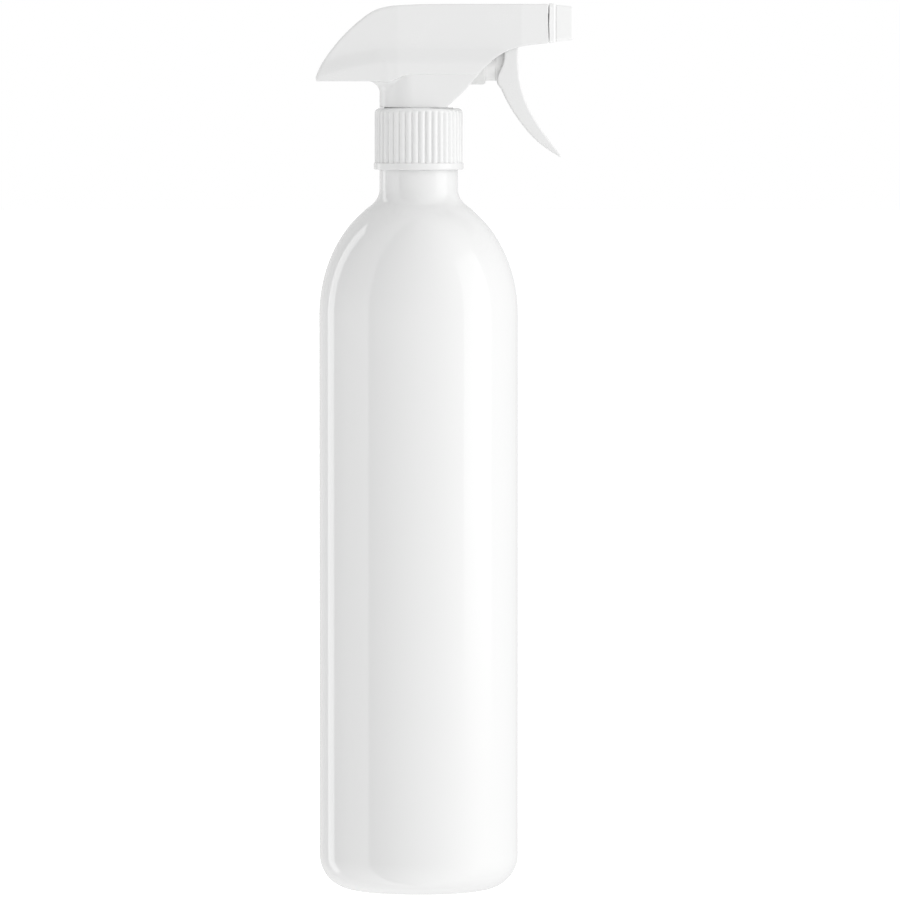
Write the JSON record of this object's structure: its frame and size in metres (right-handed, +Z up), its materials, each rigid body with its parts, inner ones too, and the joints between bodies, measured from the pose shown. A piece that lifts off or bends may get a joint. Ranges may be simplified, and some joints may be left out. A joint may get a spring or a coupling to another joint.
{
  "type": "spray bottle",
  "caption": "Tall white round-shouldered spray bottle with a ribbed screw closure and a trigger pump head with a turning square nozzle.",
  "frame": {"origin": "on the bottle's axis, at the level surface that its base ring stands on", "axes": "+Z up along the bottle's axis; +X the way the nozzle sprays; +Y to the left of someone looking along the spray"},
  "size_m": [0.097, 0.075, 0.3339],
  "materials": {
    "bottle_plastic": "glossy blow-moulded polyethylene, opaque white",
    "closure_plastic": "satin moulded polypropylene, white, ribbed",
    "shroud_plastic": "fine satin moulded polypropylene, white",
    "trigger_plastic": "fine satin moulded polypropylene, white",
    "pump_plastic": "natural milky polypropylene",
    "piston_plastic": "white low-friction moulded plastic",
    "nozzle_plastic": "satin moulded polypropylene, white",
    "tube_plastic": "extruded natural polyethylene tube",
    "gasket_foam": "closed-cell polyethylene foam",
    "seal_rubber": "moulded rubber",
    "spring_steel": "drawn stainless spring wire",
    "ball_steel": "polished stainless ball"
  },
  "bodies": {
    "bottle": {"bottle": "bottle_plastic"},
    "sprayer": {"pump_body": "pump_plastic", "shroud": "shroud_plastic", "retainer_ring": "pump_plastic", "neck_gasket": "gasket_foam", "dip_tube": "tube_plastic", "inlet_seat": "pump_plastic", "swirl_core": "pump_plastic", "nozzle_seal": "seal_rubber", "return_spring": "spring_steel", "outlet_spring": "spring_steel"},
    "closure": {"closure": "closure_plastic"},
    "trigger": {"trigger": "trigger_plastic"},
    "piston": {"piston": "piston_plastic", "piston_seal": "seal_rubber"},
    "nozzle": {"nozzle_collar": "nozzle_plastic", "nozzle_cap": "nozzle_plastic", "orifice_insert": "nozzle_plastic"},
    "inlet_ball": {"inlet_ball": "ball_steel"},
    "outlet_valve": {"outlet_valve": "piston_plastic"}
  },
  "joints": [
    {"name": "sprayer_rise", "type": "slide", "parent": "bottle", "child": "sprayer", "axis": [0, 0, 1], "range_m": [0, 0.00634]},
    {"name": "closure_spin", "type": "hinge", "parent": "sprayer", "child": "closure", "pos_m": [0, 0, 0.2831], "axis": [0, 0, 1], "range_deg": [0, 540]},
    {"name": "trigger_pivot", "type": "hinge", "parent": "sprayer", "child": "trigger", "pos_m": [0.0348, 0, 0.324], "axis": [0, 1, 0], "range_deg": [0, 17]},
    {"name": "piston_slide", "type": "slide", "parent": "sprayer", "child": "piston", "axis": [-1, 0, 0], "range_m": [0, 0.00376], "stiffness_N_per_m": 1360, "springref_m": -0.004, "deforming": ["return_spring"]},
    {"name": "nozzle_turn", "type": "hinge", "parent": "sprayer", "child": "nozzle", "pos_m": [0.0539, 0, 0.3265], "axis": [1, 0, 0], "continuous": true},
    {"name": "inlet_ball_lift", "type": "slide", "parent": "sprayer", "child": "inlet_ball", "axis": [0, 0, 1], "range_m": [0, 0.0012]},
    {"name": "outlet_valve_open", "type": "slide", "parent": "sprayer", "child": "outlet_valve", "axis": [1, 0, 0], "range_m": [0, 0.0008], "stiffness_N_per_m": 60, "springref_m": -0.001, "deforming": ["outlet_spring"]}
  ],
  "couplings": [
    {"joint": "closure_spin", "follows": "sprayer_rise", "rad_per_m": 1485.4},
    {"joint": "trigger_pivot", "follows": "piston_slide", "rad_per_m": 78.74}
  ]
}
